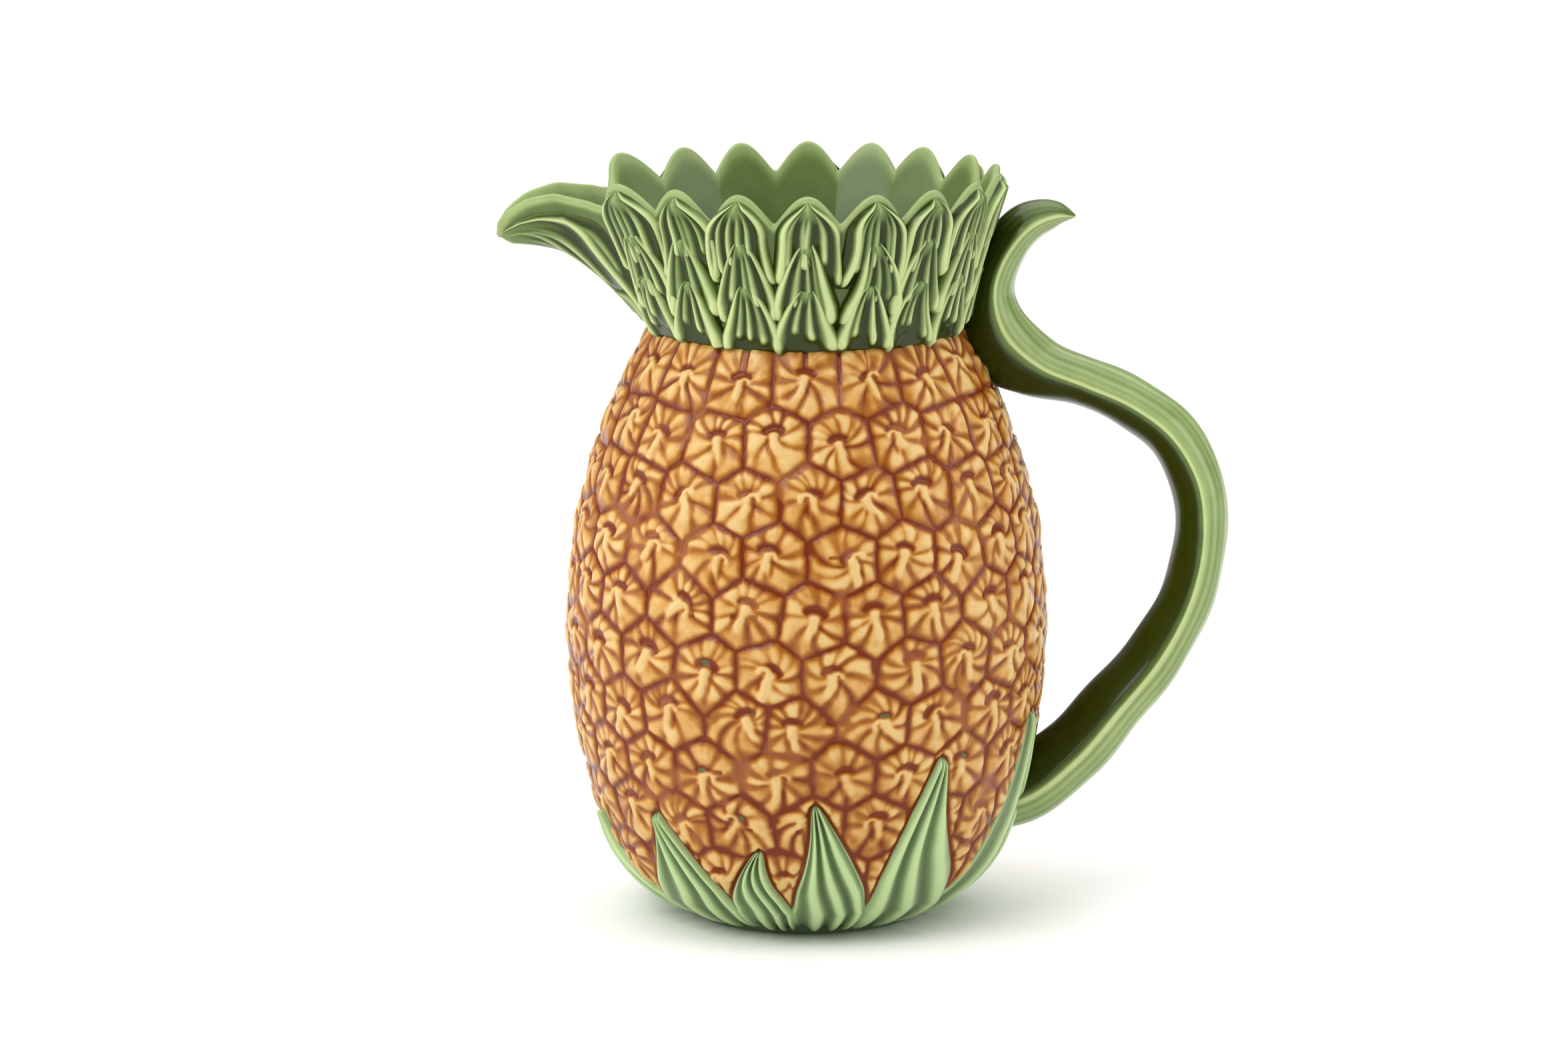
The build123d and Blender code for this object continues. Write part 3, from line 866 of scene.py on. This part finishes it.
def leaf_half_width(down, rounded):
    """Half the width of a crown leaf at a share of the way down from its point, from 0 to 1."""
    arch = 0.74 * np.sin(math.pi / 2 * np.clip(down / 0.36, 0, 1)) ** 0.9 + 0.30 * down
    wedge = 0.08 + 0.92 * np.clip(down / 0.72, 0, 1) ** 0.72
    return np.where(rounded, arch, wedge) * (1 - 0.06 * smooth(down, 0.8, 1.0))


def crown_leaf(middle, half_turn, span, depth, off, rng, ribs, rounded, sway=2.3, rows=60, columns=48):
    """The points, faces and pool shares of one leaf laid on the crown's surface."""
    across = np.linspace(-1, 1, columns)[:, None]
    down = (np.linspace(0.0, 1, rows) ** 1.15)[None, ::-1]
    width = half_turn * np.maximum(leaf_half_width(down, rounded), 0.02)
    bow = rng.normal(0, sway)
    turn = middle + bow * np.sin(math.pi * down) + across * width
    share = lerp(*span, down)
    base = crown_surface(turn, share)
    normals = grid_normals(crown_surface(turn, np.clip(share, 0, 0.999)), False)
    form = leaf_ribs(across, down, rng, ribs)
    rim = np.sqrt(np.clip(1 - np.abs(across) ** 7, 0, 1)) * np.sqrt(smooth(down, 0.0, 0.07))
    rim = rim * (1 - smooth(down, 0.95, 1.0))
    lift = -0.4 + (0.5 + off + (depth - off) * form) * rim
    points = base + normals * lift[..., None]
    hollow = blurred(form, 4, False) - form
    pool = np.clip(1.01 + 2.0 * hollow - 0.56 * form + 0.06 * smooth(down, 0.5, 1.0), 0, 1)
    pool = np.maximum(pool, 0.80 * (1 - rim) * smooth(down, 0.15, 0.5))
    return points.reshape(-1, 3), grid_faces(columns, rows, False), pool.ravel()


def join_grids(parts):
    """Several point sets with their faces and values as one."""
    points, faces, values, offset = [], [], [], 0
    for part_points, part_faces, part_values in parts:
        points.append(part_points)
        faces.append(part_faces + offset)
        values.append(part_values)
        offset += len(part_points)
    return np.concatenate(points), np.concatenate(faces), np.concatenate(values)


# Tiers of crown leaves: name, share of the crown at the point and at the foot, lift off the collar
CROWN_TIERS = (
    ("crown_leaves_lower", 0.45, -0.06, 0.5),
    ("crown_leaves_middle", 0.74, 0.13, 0.25),
    ("crown_leaves_upper", 0.995, 0.38, 0.0),
)
# Leaves of the beak: point and foot as shares, half spread in degrees, ribs
BEAK_LEAVES = ((0.34, -0.02, 18.0, 8), (1.0, 0.06, 21.0, 13))


class JUG_OT_crown_leaves(bpy.types.Operator):
    """Lay the three tiers of leaves on the collar"""

    bl_idname = "jug.crown_leaves"
    bl_label = "Crown leaves"

    def execute(self, context):
        settings = context.scene.pineapple_jug
        leaves = settings.leaves
        shifts = column_shifts(np.random.default_rng(settings.relief.seed))
        rng = np.random.default_rng(settings.relief.seed + 1)
        material = leaf_glaze("leaf_glaze", settings.glaze, 0.10)
        pitch = 360 / COLUMNS
        for name, tip, foot, off in CROWN_TIERS:
            parts = []
            for column in range(COLUMNS):
                turn = (column + shifts[column]) * pitch
                if abs(beak_angle(turn)) < LIP_SPREAD:
                    continue
                lean = rng.normal(0, 0.012)
                half = pitch * rng.uniform(0.56, 0.62)
                ribs = int(rng.integers(4, 6)) + (2 if tip > 0.9 else 0)
                span = (tip + min(lean, 0), foot)
                parts.append(crown_leaf(turn, half, span, leaves.crown_depth, off, rng, ribs, tip > 0.9))
            points, faces, pool = join_grids(parts)
            piece = make_mesh_object(name + "_relief", points, faces, {"pool": pool}, material)
            dress(piece, "leaf_glaze", name)
        parts = [
            crown_leaf(BEAK_TURN, half, (tip, foot), leaves.crown_depth * 0.6, 0.0, rng, ribs, True, 0.3, 110, 150)
            for tip, foot, half, ribs in BEAK_LEAVES
        ]
        points, faces, pool = join_grids(parts)
        piece = make_mesh_object("beak_leaves", points, faces, {"pool": pool}, material)
        dress(piece, "leaf_glaze", "pouring_spout")
        return {"FINISHED"}


def spline_through(knots, samples):
    """A smooth line through rows of numbers, as a Catmull-Rom curve by chord length."""
    knots = np.asarray(knots, float)
    steps = np.linalg.norm(np.diff(knots[:, :2], axis=0), axis=1)
    place = np.concatenate([[0], np.cumsum(steps)])
    slopes = np.gradient(knots, place, axis=0)
    at = np.linspace(0, place[-1], samples)
    span = np.clip(np.searchsorted(place, at, side="right") - 1, 0, len(knots) - 2)
    width = (place[span + 1] - place[span])[:, None]
    t = ((at - place[span])[:, None]) / width
    first, second = knots[span], knots[span + 1]
    start, end = slopes[span] * width, slopes[span + 1] * width
    cubic = (2 * t**3 - 3 * t**2 + 1) * first + (t**3 - 2 * t**2 + t) * start
    return cubic + (-2 * t**3 + 3 * t**2) * second + (t**3 - t**2) * end


class JUG_OT_handle(bpy.types.Operator):
    """Model the stalk handle with its curled leaf end"""

    bl_idname = "jug.handle"
    bl_label = "Handle"

    def execute(self, context):
        settings = context.scene.pineapple_jug
        line = spline_through(HANDLE_STATIONS, 420)
        distance, height, thick, wide = line.T
        ahead = np.gradient(line[:, :2], axis=0)
        ahead /= np.linalg.norm(ahead, axis=1, keepdims=True)
        outward = np.stack([ahead[:, 1], -ahead[:, 0]], axis=1) * -1
        psi = np.linspace(0, 2 * np.pi, 144, endpoint=False)[:, None]
        run = np.linspace(0, 1, len(line))[None, :]
        bulge = np.sin(psi) * np.abs(np.sin(psi)) ** 0.30
        flute = 0.07 * np.sin(psi * 9) * np.abs(np.sin(psi)) * (1 - 0.4 * run)
        sideways = np.cos(psi) * wide[None, :] / 2 * (1 - 0.03 * np.abs(bulge))
        off = bulge * (thick[None, :] / 2 - 0.32) + flute * np.clip(thick[None, :] / 12, 0, 1)
        ripple = 0.22 * np.sin(run * 61 + 2.0 * np.cos(psi)) * np.abs(bulge)
        off = off + ripple * np.clip(thick[None, :] / 12, 0, 1)
        # the clay is drawn down to the shoulder where the stalk leaves the neck
        off = off - 6.5 * bell(run - 0.21, 0.055) * np.clip(-bulge, 0, 1)
        x = distance[None, :] + off * outward[None, :, 0]
        z = height[None, :] + off * outward[None, :, 1]
        points = np.stack([x, -sideways, z], axis=-1)
        ridge = bell(np.abs(np.cos(psi)) - 1.0, 0.035)
        outer_face = smooth(np.sin(psi), -0.12, 0.10)
        streak = 0.04 * np.sin(psi * 9) + 0.05 * np.sin(psi * 23 + run * 7)
        # painted shade: the inner face, turned towards the jug, gets the deepest pool share and the outer face a
        # middling one; the side ridges are paler
        pool = lerp(1.0, 0.43, outer_face) - 0.34 * ridge + streak
        # the painted shade on the inner face eases off near the curled end
        pool = pool - 0.34 * (1 - smooth(run, 0.02, 0.11)) * (1 - outer_face)
        columns = len(psi)
        faces = grid_faces(columns, len(line), True)[:, ::-1]
        material = leaf_glaze("stalk_glaze", settings.glaze, 0.10)
        piece = make_mesh_object(
            "stalk_handle", points.reshape(-1, 3), faces, {"pool": pool.ravel()}, material
        )
        dress(piece, "leaf_glaze", "handle")
        return {"FINISHED"}


class JUG_OT_base_leaves(bpy.types.Operator):
    """Lay the ribbed leaves round the base"""

    bl_idname = "jug.base_leaves"
    bl_label = "Base leaves"

    def execute(self, context):
        settings = context.scene.pineapple_jug
        depth = settings.leaves.base_depth
        rng = np.random.default_rng(settings.relief.seed + 2)
        material = leaf_glaze("base_leaf_glaze", settings.glaze, 0.10, 0.45)
        for number, (start, tip_turn, tip_height) in enumerate(BASE_LEAVES):
            columns, rows = 110, 150
            across = np.linspace(-1, 1, columns)[:, None]
            along = np.linspace(0.3, float(Barrel.along(tip_height)), rows)[None, :]
            left, right, rise = base_leaf_sides(number, along)
            turn = lerp(left, right, (across + 1) / 2)
            wave = rng.uniform(0, 2 * math.pi)
            ribs = rng.uniform(2.2, 3.4)
            sway = 0.30 * np.sin(rise * 3.6 + wave) * (1 - across**2)
            ridge = 0.5 + 0.5 * np.cos(math.pi * ribs * (across + sway) + wave)
            edge = np.sqrt(np.clip(1 - np.abs(across) ** 9, 0, 1))
            tip = np.sqrt(np.clip(1 - smooth(rise, 0.95, 1.0), 0, 1))
            form = (0.50 + 0.50 * ridge) * edge * np.where(rise > 0, tip, 1)
            lift = -0.2 + (depth + 0.2) * form
            points = Barrel.point(turn, along, lift)
            hollow = blurred(form, 4, False) - form
            pool = np.clip(0.40 + 1.0 * hollow - 0.50 * (ridge - 0.45), 0, 1)
            pool = np.where(edge < 0.75, 0.24, pool)
            piece = make_mesh_object(
                f"base_leaf_relief_{number + 1}",
                points.reshape(-1, 3),
                grid_faces(columns, rows, False),
                {"pool": pool.ravel()},
                material,
            )
            dress(piece, "leaf_glaze", f"base_leaf_{number + 1}")
        return {"FINISHED"}


class JUG_OT_vessel(bpy.types.Operator):
    """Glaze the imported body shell, which shows inside the jug and under its foot"""

    bl_idname = "jug.vessel"
    bl_label = "Vessel"

    def execute(self, context):
        settings = context.scene.pineapple_jug
        tree = ShaderTree("inner_glaze")
        drift = tree.noise(30.0, detail=3.0)
        sage = tuple(settings.glaze.sage)
        colour = tree.ramp(drift, ((0.3, shade(sage, 0.7)), (0.7, sage)))
        material = tree.finish(colour, 0.3, drift, 0.05, 0.0005, {"Coat Weight": 0.5, "Coat Roughness": 0.15})
        shell = bpy.data.objects["body_shell"]
        for slot in shell.material_slots:
            slot.material = material
        if not shell.material_slots:
            shell.data.materials.append(material)
        return {"FINISHED"}


# Camera of the photograph: distance and elevation, the point aimed at and the point's pixel
CAMERA_DISTANCE = 2000.0
CAMERA_ELEVATION = 11.5
AIM = (0.0, 0.0, 120.0)
PHOTO_SIZE = (2352, 1568)
AIM_PIXEL = (1210, 803)
MM_PER_PIXEL = 0.2098
SENSOR = 36.0


def soft_light(name, place, aim, size, power, colour=(1.0, 1.0, 1.0)):
    """A square soft box that looks at a point."""
    data = bpy.data.lights.new(name, "AREA")
    data.shape = "RECTANGLE"
    data.size, data.size_y = size
    data.energy = power
    data.color = colour
    light = bpy.data.objects.new(name, data)
    light.location = place
    toward = np.asarray(aim) - np.asarray(place)
    flat = math.hypot(toward[0], toward[1])
    light.rotation_euler = (math.atan2(flat, -toward[2]), 0, math.atan2(-toward[0], toward[1]))
    bpy.context.scene.collection.objects.link(light)


class JUG_OT_stage(bpy.types.Operator):
    """Set the pale floor, the soft boxes and the camera of the photograph"""

    bl_idname = "jug.stage"
    bl_label = "Stage"

    def execute(self, context):
        scene = context.scene
        self.floor()
        self.camera(scene)
        middle = (0, 0, 0.12)
        soft_light("key_box", (-0.9, -1.1, 1.25), middle, (0.9, 0.9), 13.0)
        soft_light("left_box", (-1.5, -0.1, 0.55), middle, (0.8, 1.1), 7.0)
        soft_light("right_box", (1.5, -0.3, 0.6), middle, (0.8, 1.1), 8.0)
        soft_light("ceiling_box", (0.0, 0.9, 2.7), (0.0, 0.9, 0.0), (5.5, 5.5), 150.0)
        world = bpy.data.worlds.new("studio")
        scene.world = world
        world.use_nodes = True
        background = world.node_tree.nodes["Background"]
        background.inputs["Color"].default_value = (1.0, 1.0, 1.0, 1.0)
        background.inputs["Strength"].default_value = 0.40
        scene.view_settings.view_transform = "Standard"
        return {"FINISHED"}

    def floor(self):
        tree = ShaderTree("floor_paper")
        tint = tree.noise(3.0)
        colour = tree.ramp(tint, ((0.3, (0.90, 0.90, 0.89)), (0.7, (0.93, 0.93, 0.92))))
        material = tree.finish(colour, 0.85, tint, 0.0, 0.001, {"Specular IOR Level": 0.2})
        corners = np.array([(x, y, 0.0) for x in (-9000.0, 9000.0) for y in (-9000.0, 9000.0)])
        piece = make_mesh_object("floor", corners, np.array([[0, 2, 3, 1]]), {}, material, False)

    def camera(self, scene):
        data = bpy.data.cameras.new("photo_camera")
        data.sensor_width = SENSOR
        focal_pixels = CAMERA_DISTANCE / MM_PER_PIXEL
        data.lens = focal_pixels * SENSOR / PHOTO_SIZE[0]
        tilt = math.radians(CAMERA_ELEVATION)
        right = np.array([1.0, 0.0, 0.0])
        up = np.array([0.0, math.sin(tilt), math.cos(tilt)])
        back = np.array([0.0, -math.cos(tilt), math.sin(tilt)])
        across = (PHOTO_SIZE[0] / 2 - AIM_PIXEL[0]) * MM_PER_PIXEL
        above = (AIM_PIXEL[1] - PHOTO_SIZE[1] / 2) * MM_PER_PIXEL
        place = np.array(AIM) + back * CAMERA_DISTANCE + right * across + up * above
        camera = bpy.data.objects.new("photo_camera", data)
        camera.location = place * MM
        camera.rotation_euler = (math.pi / 2 - tilt, 0, 0)
        data.clip_end = 100.0
        scene.collection.objects.link(camera)
        scene.camera = camera


class PineappleJug(bpy.types.PropertyGroup):
    """All settings of the jug."""

    glaze: PointerProperty(type=JugGlaze)
    relief: PointerProperty(type=JugRelief)
    leaves: PointerProperty(type=JugLeaves)


class JUG_PT_panel(bpy.types.Panel):
    """The jug's settings and steps"""

    bl_idname = "JUG_PT_panel"
    bl_label = "Pineapple Jug"
    bl_space_type = "VIEW_3D"
    bl_region_type = "UI"
    bl_category = "Jug"

    def draw(self, context):
        settings = context.scene.pineapple_jug
        for group in (settings.relief, settings.leaves, settings.glaze):
            for name in group.bl_rna.properties.keys():
                if name not in ("rna_type", "name"):
                    self.layout.prop(group, name)
        for step in STEPS:
            self.layout.operator(step.bl_idname)


STEPS = (
    JUG_OT_vessel,
    JUG_OT_fruitlets,
    JUG_OT_collar,
    JUG_OT_crown_leaves,
    JUG_OT_handle,
    JUG_OT_base_leaves,
    JUG_OT_stage,
)
CLASSES = (JugGlaze, JugRelief, JugLeaves, PineappleJug, *STEPS, JUG_PT_panel)


def register():
    for cls in CLASSES:
        bpy.utils.register_class(cls)
    bpy.types.Scene.pineapple_jug = PointerProperty(type=PineappleJug)


def unregister():
    del bpy.types.Scene.pineapple_jug
    for cls in reversed(CLASSES):
        bpy.utils.unregister_class(cls)


def main():
    register()
    for step in STEPS:
        family, name = step.bl_idname.split(".")
        getattr(getattr(bpy.ops, family), name)()


if __name__ == "__main__":
    main()
